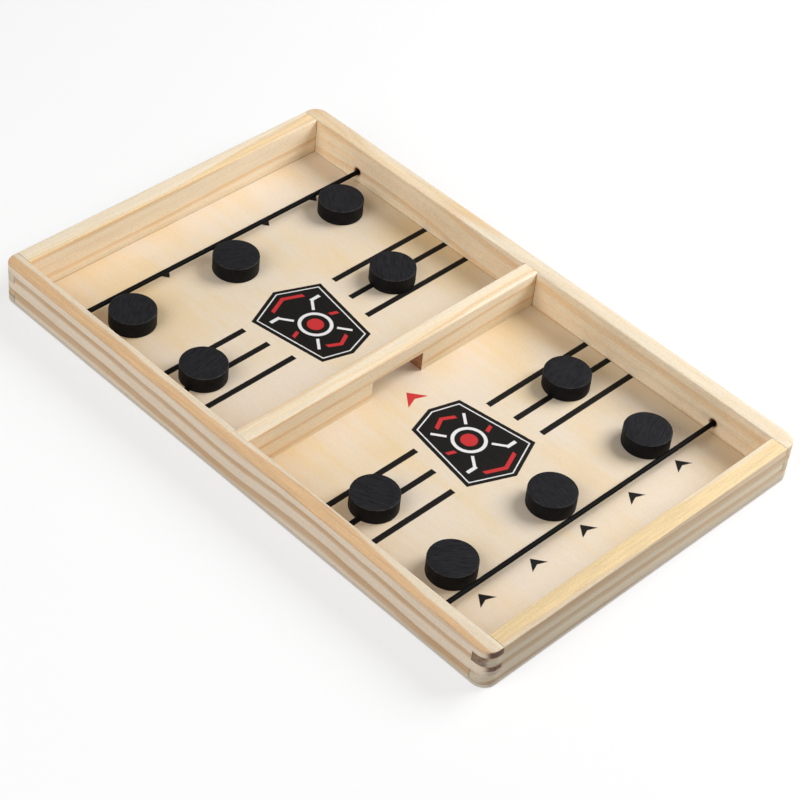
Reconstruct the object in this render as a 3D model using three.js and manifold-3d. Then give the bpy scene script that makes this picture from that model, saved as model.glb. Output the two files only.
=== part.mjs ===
// Tabletop hockey game: a shallow wooden tray with a gated divider across its middle, an elastic
// launching cord near each end and ten loose wooden pucks.
// Millimetres. X runs across the board, Y along it, Z up. The origin is under the middle of the board.
import * as THREE from "three";
import { mergeVertices } from "three/addons/utils/BufferGeometryUtils.js";
import Module from "manifold-3d";

// Board, over everything
const boardLength = 350;
const boardWidth = 221;
const cornerRadius = 7.5;
const edgeRounding = 0.8;

// Frame and the plywood sheet under it
const baseThickness = 2;
const railHeight = 21.8;
const sideRailThickness = 9.7;
const endRailThickness = 10;

// Finger joints at the four corners, counted from the sheet up; the top finger takes what is left
const fingerHeight = 5.9;
const fingerCount = 4;
const glueLine = 0.1;

// Divider with its gate, let into shallow housings in the side rails
const dividerThickness = 10;
const housingDepth = 1.2;
const gateWidth = 35.5;
const gateHeight = 12.1;

// Launching cords: each runs through a hole in both side rails to a knot in a pocket
const cordInset = 44.5;
const cordDiameter = 2.7;
const cordRise = 5.9;
const cordHoleDiameter = 4.4;
const cordHoleLift = 0.4;
const knotDiameter = 5.4;
const knotPocketDiameter = 6.4;
const knotSeatGap = 0.3;

// Pucks
const puckDiameter = 25.2;
const puckHeight = 9.4;
const puckChamfer = 0.5;
const puckGap = 0.3;

// Facets of round shapes
const cornerSteps = 10;
const roundingSteps = 3;
const puckSides = 48;
const cordSides = 16;
const holeSides = 24;
const knotSteps = 8;

// Every cut runs this far past what it cuts
const overrun = 1;

// Worked out from the sizes above
const boardHeight = baseThickness + railHeight;
const courtHalfWidth = boardWidth / 2 - sideRailThickness;
const courtHalfLength = boardLength / 2 - endRailThickness;
const cordY = boardLength / 2 - cordInset;
const cordZ = baseThickness + cordRise;
const pocketX = -boardWidth / 2 + sideRailThickness / 2;

// Where the pucks lie. A middle puck stands in the gate's lane, at a share of the gate's spare width
// to either side. The rest lie at a share of the court's half width. A puck at the cord stands off it
// by a share of its own diameter. A puck in the court lies at a share of the way from the divider
// to the pucks at the cord.
const puckPlaces = [
  { name: "puck_near_cord_left", end: -1, acrossShare: -0.8, standoffShare: 0.08 },
  { name: "puck_near_cord_middle", end: -1, laneShare: -0.08, standoffShare: 0.12 },
  { name: "puck_near_cord_right", end: -1, acrossShare: 0.78, standoffShare: 0.08 },
  { name: "puck_near_court_left", end: -1, acrossShare: -0.78, alongShare: 0.575 },
  { name: "puck_near_court_right", end: -1, acrossShare: 0.775, alongShare: 0.574 },
  { name: "puck_far_cord_left", end: 1, acrossShare: -0.835, standoffShare: 0.045 },
  { name: "puck_far_cord_middle", end: 1, laneShare: -0.56, standoffShare: 0.05 },
  { name: "puck_far_cord_right", end: 1, acrossShare: 0.848, standoffShare: 0.005 },
  { name: "puck_far_court_left", end: 1, acrossShare: -0.82, alongShare: 0.593 },
  { name: "puck_far_court_right", end: 1, acrossShare: 0.642, alongShare: 0.53 },
];

const wasm = await Module();
wasm.setup();

// Closed geometry to a solid that can be cut, and back
function toSolid(geometry) {
  const bare = geometry.clone();
  bare.deleteAttribute("normal");
  bare.deleteAttribute("uv");
  const merged = mergeVertices(bare);
  return new wasm.Manifold(new wasm.Mesh({
    numProp: 3,
    vertProperties: new Float32Array(merged.attributes.position.array),
    triVerts: new Uint32Array(merged.index.array),
  }));
}

function toGeometry(solid) {
  const mesh = solid.getMesh();
  const geometry = new THREE.BufferGeometry();
  geometry.setAttribute("position", new THREE.BufferAttribute(new Float32Array(mesh.vertProperties), 3));
  geometry.setIndex(new THREE.BufferAttribute(new Uint32Array(mesh.triVerts), 1));
  const faceted = geometry.toNonIndexed();
  faceted.computeVertexNormals();
  return faceted;
}

// A block from its low corner to its high corner
function block(low, high) {
  const size = high.clone().sub(low);
  const geometry = new THREE.BoxGeometry(size.x, size.y, size.z);
  geometry.translate(...low.clone().add(high).divideScalar(2).toArray());
  return geometry;
}

const corner = (x, y, z) => new THREE.Vector3(x, y, z);

// Plan outline of the board with round corners, drawn smaller by an inset on every side
function boardOutline(inset) {
  const x = boardWidth / 2 - cornerRadius;
  const y = boardLength / 2 - cornerRadius;
  const radius = cornerRadius - inset;
  const quarter = Math.PI / 2;
  const shape = new THREE.Shape();
  shape.absarc(x, -y, radius, -quarter, 0, false);
  shape.absarc(x, y, radius, 0, quarter, false);
  shape.absarc(-x, y, radius, quarter, 2 * quarter, false);
  shape.absarc(-x, -y, radius, 2 * quarter, 3 * quarter, false);
  return shape;
}

// The whole frame's outer form: the outline with its top edge rounded, reaching below the sheet
function frameEnvelope() {
  const depth = boardHeight + overrun;
  const geometry = new THREE.ExtrudeGeometry(boardOutline(edgeRounding), {
    depth,
    curveSegments: cornerSteps,
    bevelEnabled: true,
    bevelThickness: edgeRounding,
    bevelSize: edgeRounding,
    bevelSegments: roundingSteps,
  });
  geometry.translate(0, 0, boardHeight - edgeRounding - depth);
  return geometry;
}

// Cross section of a bar that stands on the sheet, with its top edges rounded where asked
function barSection(thickness, roundLeft, roundRight) {
  const low = baseThickness;
  const high = boardHeight;
  const leftRadius = roundLeft ? edgeRounding : 0;
  const rightRadius = roundRight ? edgeRounding : 0;
  const quarter = Math.PI / 2;
  const shape = new THREE.Shape();
  shape.moveTo(0, low);
  shape.lineTo(thickness, low);
  shape.lineTo(thickness, high - rightRadius);
  if (roundRight) shape.absarc(thickness - rightRadius, high - rightRadius, rightRadius, 0, quarter, false);
  shape.lineTo(leftRadius, high);
  if (roundLeft) shape.absarc(leftRadius, high - leftRadius, leftRadius, quarter, 2 * quarter, false);
  return shape;
}

// A bar along Y whose section starts at X zero, or along X whose section starts at Y zero
function bar(section, length, alongX) {
  const geometry = new THREE.ExtrudeGeometry(section, {
    depth: length,
    curveSegments: roundingSteps,
    bevelEnabled: false,
  });
  geometry.translate(0, 0, -length / 2);
  geometry.rotateX(Math.PI / 2);
  if (alongX) geometry.rotateZ(Math.PI / 2);
  return geometry;
}

// Height of the finger joint's line under a level, counted from the sheet
function fingerLine(level) {
  return level === fingerCount ? boardHeight : baseThickness + level * fingerHeight;
}

// The levels at which the end rail's fingers pass through the side rail, from the sheet up
const isEndRailLevel = (level) => level % 2 === 0;

// Side rail on the left; the right one is the same piece turned round
function sideRail() {
  const outerX = -boardWidth / 2;
  const innerX = outerX + sideRailThickness;
  const stock = bar(barSection(sideRailThickness, false, true), boardLength, false);
  stock.translate(outerX, 0, 0);
  let solid = toSolid(stock).intersect(toSolid(frameEnvelope()));
  for (const end of [-1, 1]) {
    const shoulderY = end * (courtHalfLength - glueLine);
    const pastEndY = end * (boardLength / 2 + overrun);
    for (let level = 0; level < fingerCount; level += 1) {
      if (!isEndRailLevel(level)) continue;
      const lowZ = level === 0 ? -overrun : fingerLine(level) - glueLine;
      const highZ = fingerLine(level + 1) + glueLine;
      const notch = block(
        corner(outerX - overrun, Math.min(shoulderY, pastEndY), lowZ),
        corner(innerX + overrun, Math.max(shoulderY, pastEndY), highZ),
      );
      solid = solid.subtract(toSolid(notch));
    }
    solid = solid.subtract(cordHole(end * cordY, innerX)).subtract(knotPocket(end * cordY));
  }
  const housingHalf = dividerThickness / 2 + glueLine;
  const housing = block(
    corner(innerX - housingDepth, -housingHalf, -overrun),
    corner(innerX + overrun, housingHalf, boardHeight + overrun),
  );
  return toGeometry(solid.subtract(toSolid(housing)));
}

// Hole for a cord, from the court through the rail's inner face to the knot's pocket
function cordHole(y, innerX) {
  const length = innerX + overrun - pocketX;
  const radius = cordHoleDiameter / 2;
  const hole = new THREE.CylinderGeometry(radius, radius, length, holeSides);
  hole.rotateZ(Math.PI / 2);
  hole.translate(pocketX + length / 2, y, cordZ + cordHoleLift);
  return toSolid(hole);
}

// Pocket for a cord's knot, drilled up into the rail from underneath and closed by the sheet
function knotPocket(y) {
  const radius = knotPocketDiameter / 2;
  const height = cordZ + radius + overrun;
  const pocket = new THREE.CylinderGeometry(radius, radius, height, holeSides);
  pocket.rotateX(Math.PI / 2);
  pocket.translate(pocketX, y, height / 2 - overrun);
  return toSolid(pocket);
}

// End rail at the near end; the far one is the same piece turned round
function endRail() {
  const outerY = -boardLength / 2;
  const innerY = outerY + endRailThickness;
  const stock = bar(barSection(endRailThickness, false, true), boardWidth, true);
  stock.translate(0, outerY, 0);
  let solid = toSolid(stock).intersect(toSolid(frameEnvelope()));
  for (const side of [-1, 1]) {
    const shoulderX = side * (courtHalfWidth - glueLine);
    const pastSideX = side * (boardWidth / 2 + overrun);
    for (let level = 0; level < fingerCount; level += 1) {
      if (isEndRailLevel(level)) continue;
      const pastTop = level + 1 === fingerCount ? overrun : 0;
      const notch = block(
        corner(Math.min(shoulderX, pastSideX), outerY - overrun, fingerLine(level)),
        corner(Math.max(shoulderX, pastSideX), innerY + overrun, fingerLine(level + 1) + pastTop),
      );
      solid = solid.subtract(toSolid(notch));
    }
  }
  return toGeometry(solid);
}

// Divider across the middle, with the gate cut up from its lower edge
function divider() {
  const length = 2 * (courtHalfWidth + housingDepth - glueLine);
  const stock = bar(barSection(dividerThickness, true, true), length, true);
  stock.translate(0, -dividerThickness / 2, 0);
  const gate = block(
    corner(-gateWidth / 2, -dividerThickness / 2 - overrun, -overrun),
    corner(gateWidth / 2, dividerThickness / 2 + overrun, baseThickness + gateHeight),
  );
  return toGeometry(toSolid(stock).subtract(toSolid(gate)));
}

function basePanel() {
  return new THREE.ExtrudeGeometry(boardOutline(0), {
    depth: baseThickness,
    curveSegments: cornerSteps,
    bevelEnabled: false,
  });
}

// Elastic cord with a knot at each end, as one turned form along X. Each knot is seated towards
// the hole that it can't pass.
function cord() {
  const radius = cordDiameter / 2;
  const knotRadius = knotDiameter / 2;
  const seatShift = knotPocketDiameter / 2 - knotRadius - knotSeatGap;
  const knotCentre = -pocketX - seatShift;
  const neckAngle = Math.asin(radius / knotRadius);
  const points = [];
  for (const end of [-1, 1]) {
    for (let step = 0; step <= knotSteps; step += 1) {
      const share = end < 0 ? step / knotSteps : 1 - step / knotSteps;
      const angle = share * (Math.PI - neckAngle);
      const across = share === 0 ? 0 : knotRadius * Math.sin(angle);
      points.push(new THREE.Vector2(across, end * (knotCentre + knotRadius * Math.cos(angle))));
    }
  }
  const geometry = new THREE.LatheGeometry(points, cordSides);
  geometry.rotateZ(Math.PI / 2);
  return geometry;
}

function puck() {
  const radius = puckDiameter / 2;
  const points = [
    new THREE.Vector2(0, 0),
    new THREE.Vector2(radius - puckChamfer, 0),
    new THREE.Vector2(radius, puckChamfer),
    new THREE.Vector2(radius, puckHeight - puckChamfer),
    new THREE.Vector2(radius - puckChamfer, puckHeight),
    new THREE.Vector2(0, puckHeight),
  ];
  const geometry = new THREE.LatheGeometry(points, puckSides);
  geometry.rotateX(Math.PI / 2);
  return geometry;
}

// Centre of a puck on the floor, from its place in the table
function puckCentre({ end, laneShare, acrossShare, standoffShare, alongShare }) {
  const radius = puckDiameter / 2;
  const spare = laneShare === undefined ? courtHalfWidth - radius - puckGap : gateWidth / 2 - radius;
  const x = (laneShare ?? acrossShare) * spare;
  const cordRow = cordY - cordDiameter / 2 - puckGap - radius;
  if (standoffShare !== undefined) return [x, end * (cordRow - standoffShare * puckDiameter)];
  const first = dividerThickness / 2 + puckGap + radius;
  const last = cordRow - puckDiameter - puckGap;
  return [x, end * (first + alongShare * (last - first))];
}

const pine = (color) => new THREE.MeshStandardMaterial({ color, roughness: 0.62, metalness: 0 });
const plywood = new THREE.MeshStandardMaterial({ color: 0xe6d0b2, roughness: 0.55, metalness: 0 });
const elastic = () => new THREE.MeshStandardMaterial({ color: 0x1a1a1c, roughness: 0.85, metalness: 0 });
const blackWood = () => new THREE.MeshStandardMaterial({ color: 0x2c2d2f, roughness: 0.6, metalness: 0 });

const group = new THREE.Group();

function place(name, geometry, material) {
  const mesh = new THREE.Mesh(geometry, material);
  mesh.name = name;
  group.add(mesh);
  return mesh;
}

place("base_panel", basePanel(), plywood);
place("side_rail_left", sideRail(), pine(0xdcc09a));
place("side_rail_right", sideRail(), pine(0xf0e0c0)).rotation.z = Math.PI;
place("end_rail_near", endRail(), pine(0xe8d0a0));
place("end_rail_far", endRail(), pine(0xeedcba)).rotation.z = Math.PI;
place("divider", divider(), pine(0xf2e2c2));
place("cord_near", cord(), elastic()).position.set(0, -cordY, cordZ);
place("cord_far", cord(), elastic()).position.set(0, cordY, cordZ);
for (const spot of puckPlaces) {
  place(spot.name, puck(), blackWood()).position.set(...puckCentre(spot), baseThickness);
}

export default group;
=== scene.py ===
"""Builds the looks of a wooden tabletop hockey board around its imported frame, as a Blender add-on."""

import math
from collections import namedtuple

import bmesh
import bpy
import numpy as np
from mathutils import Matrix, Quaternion, Vector


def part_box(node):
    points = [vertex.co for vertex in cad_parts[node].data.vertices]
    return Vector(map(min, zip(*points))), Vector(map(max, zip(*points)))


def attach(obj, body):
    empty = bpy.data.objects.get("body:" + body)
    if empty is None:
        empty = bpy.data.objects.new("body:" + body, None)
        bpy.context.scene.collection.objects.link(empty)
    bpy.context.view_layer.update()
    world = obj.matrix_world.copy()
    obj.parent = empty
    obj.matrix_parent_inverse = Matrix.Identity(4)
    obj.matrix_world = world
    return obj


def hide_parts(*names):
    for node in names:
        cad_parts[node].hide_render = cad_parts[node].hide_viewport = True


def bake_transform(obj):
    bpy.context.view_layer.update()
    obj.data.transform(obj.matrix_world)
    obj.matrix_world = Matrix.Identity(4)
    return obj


bl_info = {
    "name": "Tabletop Hockey Board",
    "version": (1, 0, 0),
    "blender": (4, 5, 0),
    "location": "View3D > Sidebar > Hockey Board",
    "description": "Makes a finger-jointed hockey board with its cords and pucks",
    "category": "Add Mesh",
}

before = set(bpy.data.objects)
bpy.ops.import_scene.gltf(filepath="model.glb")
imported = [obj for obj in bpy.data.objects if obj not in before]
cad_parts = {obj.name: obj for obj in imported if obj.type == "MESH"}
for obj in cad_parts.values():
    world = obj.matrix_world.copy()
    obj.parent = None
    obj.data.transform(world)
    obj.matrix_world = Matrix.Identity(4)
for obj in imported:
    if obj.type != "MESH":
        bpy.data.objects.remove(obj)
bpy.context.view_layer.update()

# The script works in metres and thinks in millimetres
MM = 0.001

# Faces at a steeper angle than this keep a sharp edge between them
CREASE = math.radians(35)

# A cutter runs this far past what it cuts
OVERRUN = 1 * MM

# Facets of the board's corners, of the sanded edges, of the broken arrises and of the drilled holes
CORNER_SEGMENTS = 14
EDGE_SEGMENTS = 4
ARRIS_SEGMENTS = 2
HOLE_SIDES = 32

# Fingers in a corner joint, counted from the sheet up, and plies in the sheet
FINGERS = 4
PLIES = 3

# What the frame gives: the sheet, the rails and the divider, the cords and the pucks
SHEET_LOW, SHEET_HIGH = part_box("base_panel")
SIDE_LOW, SIDE_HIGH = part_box("side_rail_right")
END_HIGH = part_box("end_rail_near")[1]
DIVIDER_LOW, DIVIDER_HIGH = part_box("divider")
CORD_LOW, CORD_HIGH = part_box("cord_near")
PUCK_LOW, PUCK_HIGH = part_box("puck_near_cord_middle")
PUCKS = sorted(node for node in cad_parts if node.startswith("puck_"))

HALF_WIDTH = SHEET_HIGH.x
HALF_LENGTH = SHEET_HIGH.y
FLOOR = SHEET_HIGH.z
TOP = SIDE_HIGH.z
COURT_HALF_WIDTH = SIDE_LOW.x
COURT_HALF_LENGTH = -END_HIGH.y
CORD_Y = -(CORD_LOW.y + CORD_HIGH.y) / 2
CORD_Z = (CORD_LOW.z + CORD_HIGH.z) / 2


def linear(red, green, blue):
    """A colour given as 0 to 255 on a screen, in Blender's linear numbers."""
    shares = [part / 255 for part in (red, green, blue)]
    return [s / 12.92 if s <= 0.04045 else ((s + 0.055) / 1.055) ** 2.4 for s in shares]


def length(name, description, default):
    return bpy.props.FloatProperty(
        name=name, description=description, default=default, min=0, precision=5,
        unit="LENGTH", subtype="DISTANCE",
    )


def colour(name, description, red, green, blue):
    return bpy.props.FloatVectorProperty(
        name=name, description=description, default=linear(red, green, blue), size=3,
        min=0, max=1, subtype="COLOR",
    )


def level(name, description, default):
    return bpy.props.FloatProperty(name=name, description=description, default=default, min=0)


class BoardSizes(bpy.types.PropertyGroup):
    """Sizes of the frame, the cords and the pucks."""

    corner_radius: length("Corner radius", "Plan radius of the four corners", 7.5 * MM)
    edge_rounding: length("Edge rounding", "Radius sanded on the top edges", 0.8 * MM)
    seam_softening: length("Seam softening", "Broken arris along every joint", 0.14 * MM)
    glue_line: length("Glue line", "Gap left in the joints", 0.1 * MM)
    finger_height: length("Finger height", "Height of a finger in the corner joints", 5.9 * MM)
    housing_depth: length("Housing depth", "How far the divider is let into a side rail", 1.2 * MM)
    gate_width: length("Gate width", "Width of the gate in the divider", 35.5 * MM)
    gate_height: length("Gate height", "Height of the gate above the floor", 12.1 * MM)
    core_step: length("Core step", "How far the sheet's middle ply stands back", 0.08 * MM)
    cord_thickness: length("Cord thickness", "Diameter of the elastic cord", 2.7 * MM)
    cord_hole: length("Cord hole", "Diameter of the hole in the rail", 4.4 * MM)
    cord_hole_lift: length("Cord hole lift", "How far the hole's middle is above the cord's", 0.4 * MM)
    knot_pocket: length("Knot pocket", "Diameter of the pocket for the knot", 6.4 * MM)
    knot_size: length("Knot size", "Diameter of the knot at the cord's end", 5.4 * MM)
    knot_room: length("Knot room", "Gap between the knot and the pocket's wall", 0.3 * MM)
    puck_rim: length("Puck rim", "Rounding of a puck's rims", 0.5 * MM)


class BoardColours(bpy.types.PropertyGroup):
    """Colours of the bare wood, the print, the cords and the pucks."""

    pine_pale: colour("Pale pine", "Early wood between the growth rings", 243, 228, 202)
    # Painted light: this rosier early wood stands for the tint of the light from the left on the left
    # rail's faces
    pine_rosy: colour("Rosy pine", "Early wood on the left rail's faces", 247, 229, 206)
    pine_late: colour("Late pine", "Late wood of the growth rings", 206, 163, 112)
    pine_amber: colour("Amber pine", "Late wood of the more golden sticks", 226, 181, 120)
    pine_gold: colour("Golden pine", "Warm wood on the end rails' tops", 240, 212, 163)
    pine_tan: colour("Tan pine", "Band along the left rail's top", 230, 190, 145)
    end_grain: colour("End grain", "Scorched ends of the fingers", 112, 78, 62)
    burnt_rim: colour("Burnt rim", "Walls of the gate and rims of the cord holes", 148, 92, 58)
    ply_face: colour("Ply face", "Face veneer of the sheet", 233, 218, 198)
    ply_warm: colour("Warm ply", "Warmer clouds in the face veneer", 234, 208, 164)
    ply_core: colour("Ply core", "Middle ply, seen on the sheet's edge", 236, 228, 216)
    ink_black: colour("Black ink", "Printed lines and arrows", 7, 7, 8)
    ink_red: colour("Red ink", "Gate arrows and the emblem's red", 198, 52, 54)
    ink_white: colour("White ink", "The emblem's white", 232, 231, 230)
    puck_stain: colour("Puck stain", "Black stain on the pucks", 32, 32, 35)
    # Worn stain and painted highlight: this lighter stain also stands for the light that a puck's rims
    # catch
    puck_worn_and_sheen: colour("Worn stain", "Rubbed stain along a puck's rims", 96, 94, 92)
    cord_black: colour("Cord black", "The cords' braid", 4, 4, 5)
    backdrop: colour("Backdrop", "Floor and background as they are seen", 253, 253, 253)
    bounce: colour("Bounce", "Floor as it lights the board", 176, 176, 176)


class BoardLight(bpy.types.PropertyGroup):
    """Levels of the light."""

    sky: level("Sky", "Level of the plain light from all round", 0.2)
    key: level("Key", "Power of the lamp on the right, in watts", 16.6)
    fill: level("Fill", "Power of the lamp on the left, in watts", 11.2)


def sizes():
    return bpy.context.scene.board_sizes


def colours():
    return bpy.context.scene.board_colours


# Names under which a mesh holds what its material reads: the way each face looks, a puck's place
# in its stick and in the puck itself, and a cord's way along and round
FACING_MARK = "facing"
GRAIN_MARK = "grain"
PUCK_MARK = "puck_place"
LAY_MARK = "lay"


# Work on meshes

def take(piece):
    """Leaves edit mode and makes piece the one selected object, or nothing where it is None."""
    if bpy.context.mode != "OBJECT":
        bpy.ops.object.mode_set(mode="OBJECT")
    bpy.ops.object.select_all(action="DESELECT")
    bpy.context.view_layer.objects.active = piece
    if piece:
        piece.select_set(True)


def settle(piece, name=None):
    """Puts the object's place into its mesh, so that the object sits at the origin."""
    take(piece)
    if name:
        piece.name = piece.data.name = name
    bpy.ops.object.transform_apply(location=True, rotation=True, scale=True)
    return piece


def add_block(name, low, high):
    take(None)
    middle = (Vector(low) + Vector(high)) / 2
    bpy.ops.mesh.primitive_cube_add(size=1, location=middle, scale=Vector(high) - Vector(low))
    return settle(bpy.context.object, name)


def add_rod(name, radius, start, end, sides):
    """A cylinder from one point to another."""
    take(None)
    start, end = Vector(start), Vector(end)
    line = end - start
    bpy.ops.mesh.primitive_cylinder_add(
        vertices=sides, radius=radius, depth=line.length, location=(start + end) / 2,
        rotation=line.to_track_quat("Z", "Y").to_euler(),
    )
    return settle(bpy.context.object, name)


def pick_all(picked=True):
    """In edit mode, picks everything or nothing."""
    bpy.ops.mesh.select_all(action="SELECT" if picked else "DESELECT")


class Bench:
    """Edit mode on one piece: entered with nothing picked, and left at the end."""

    def __init__(self, piece):
        self.piece = piece

    def __enter__(self):
        take(self.piece)
        bpy.ops.object.mode_set(mode="EDIT")
        pick_all(False)
        return self

    def __exit__(self, *_):
        bpy.ops.object.mode_set(mode="OBJECT")

    def pick_faces(self, wanted):
        """Picks the faces whose middle and normal pass a test."""
        bpy.ops.mesh.select_mode(type="FACE")
        mesh = bmesh.from_edit_mesh(self.piece.data)
        mesh.normal_update()
        for face in mesh.faces:
            face.select_set(bool(wanted(face.calc_center_median(), face.normal)))
        bmesh.update_edit_mesh(self.piece.data)

    def pick_edges(self, wanted):
        """Picks the edges whose two ends and two faces' normals pass a test."""
        bpy.ops.mesh.select_mode(type="EDGE")
        mesh = bmesh.from_edit_mesh(self.piece.data)
        mesh.normal_update()
        chosen = [
            edge for edge in mesh.edges
            if wanted(edge.verts[0].co, edge.verts[1].co, [face.normal for face in edge.link_faces])
        ]
        for edge in mesh.edges:
            edge.select_set(False)
        for edge in chosen:
            edge.select_set(True)
        bmesh.update_edit_mesh(self.piece.data)

    def slice(self, point, normal):
        """Cuts a line of edges round the whole piece."""
        pick_all()
        bpy.ops.mesh.bisect(plane_co=point, plane_no=normal)
        pick_all(False)

    def round_edges(self, radius, segments):
        bpy.ops.mesh.bevel(offset=radius, segments=segments, affect="EDGES", clamp_overlap=False)
        pick_all(False)


def near(a, b, slack=0.01 * MM):
    return abs(a - b) < slack


def cut_away(piece, *cutters):
    """Cuts the cutters out of the piece and deletes them."""
    for cutter in cutters:
        take(piece)
        modifier = piece.modifiers.new("cut", "BOOLEAN")
        modifier.operation = "DIFFERENCE"
        modifier.solver = "EXACT"
        modifier.object = cutter
        bpy.ops.object.modifier_apply(modifier=modifier.name)
        bpy.data.objects.remove(cutter)


def soften(piece, radius):
    """Breaks every arris that is still sharp and shades the rest smooth."""
    take(piece)
    modifier = piece.modifiers.new("arris", "BEVEL")
    modifier.width = radius
    modifier.segments = ARRIS_SEGMENTS
    modifier.limit_method = "ANGLE"
    modifier.angle_limit = CREASE
    modifier.use_clamp_overlap = True
    bpy.ops.object.modifier_apply(modifier=modifier.name)
    bpy.ops.object.shade_smooth_by_angle(angle=CREASE)


def turned_copy(piece, name, turn=0.0, move=(0, 0, 0)):
    """A copy with its own mesh, turned about the board's upright axis and then moved."""
    copy = piece.copy()
    copy.data = piece.data.copy()
    bpy.context.scene.collection.objects.link(copy)
    take(copy)
    bpy.ops.transform.rotate(value=turn, orient_axis="Z", center_override=(0, 0, 0))
    bpy.ops.transform.translate(value=move)
    return settle(copy, name)


def points_of(piece):
    """The places of a mesh's points, as rows of x, y and z."""
    flat = np.empty(len(piece.data.vertices) * 3)
    piece.data.vertices.foreach_get("co", flat)
    return flat.reshape(-1, 3)


def store(piece, name, rows, domain="POINT"):
    """Writes three numbers for each point or corner of a mesh, for its material to read."""
    marks = piece.data.attributes.new(name, "FLOAT_VECTOR", domain)
    marks.data.foreach_set("vector", rows.astype(np.float32).ravel())


def mark_facing(piece):
    """Stores the way that each face looks, so that a material can tell end grain from long grain."""
    flat = np.empty(len(piece.data.loops) * 3, np.float32)
    piece.data.corner_normals.foreach_get("vector", flat)
    store(piece, FACING_MARK, flat, "CORNER")


def finish_piece(piece, material, slot, body, *nodes):
    """Gives a piece its material and the body that it moves with. Slot is not used."""
    piece.data.materials.clear()
    piece.data.materials.append(material)
    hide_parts(*nodes)
    if body:
        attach(piece, body)
    take(None)


def finish_stick(piece, slot, node):
    """Gives a stick of the frame its pine."""
    mark_facing(piece)
    finish_piece(piece, pine(STICKS[node]), slot, "board", node)


# Work on materials

def sign(operation, backwards=False):
    """A method for a sign with a value on its left or, backwards, on its right."""
    def method(self, other):
        return self.finish.math(operation, *((other, self) if backwards else (self, other)))

    return method


class Value:
    """One output of a material's node, so that a sum in Python adds its Math nodes."""

    __add__, __radd__ = sign("ADD"), sign("ADD", True)
    __sub__, __rsub__ = sign("SUBTRACT"), sign("SUBTRACT", True)
    __mul__, __rmul__ = sign("MULTIPLY"), sign("MULTIPLY", True)
    __truediv__ = sign("DIVIDE")

    def __init__(self, finish, socket):
        self.finish = finish
        self.socket = socket

    def __abs__(self):
        return self.finish.math("ABSOLUTE", self)


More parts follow.
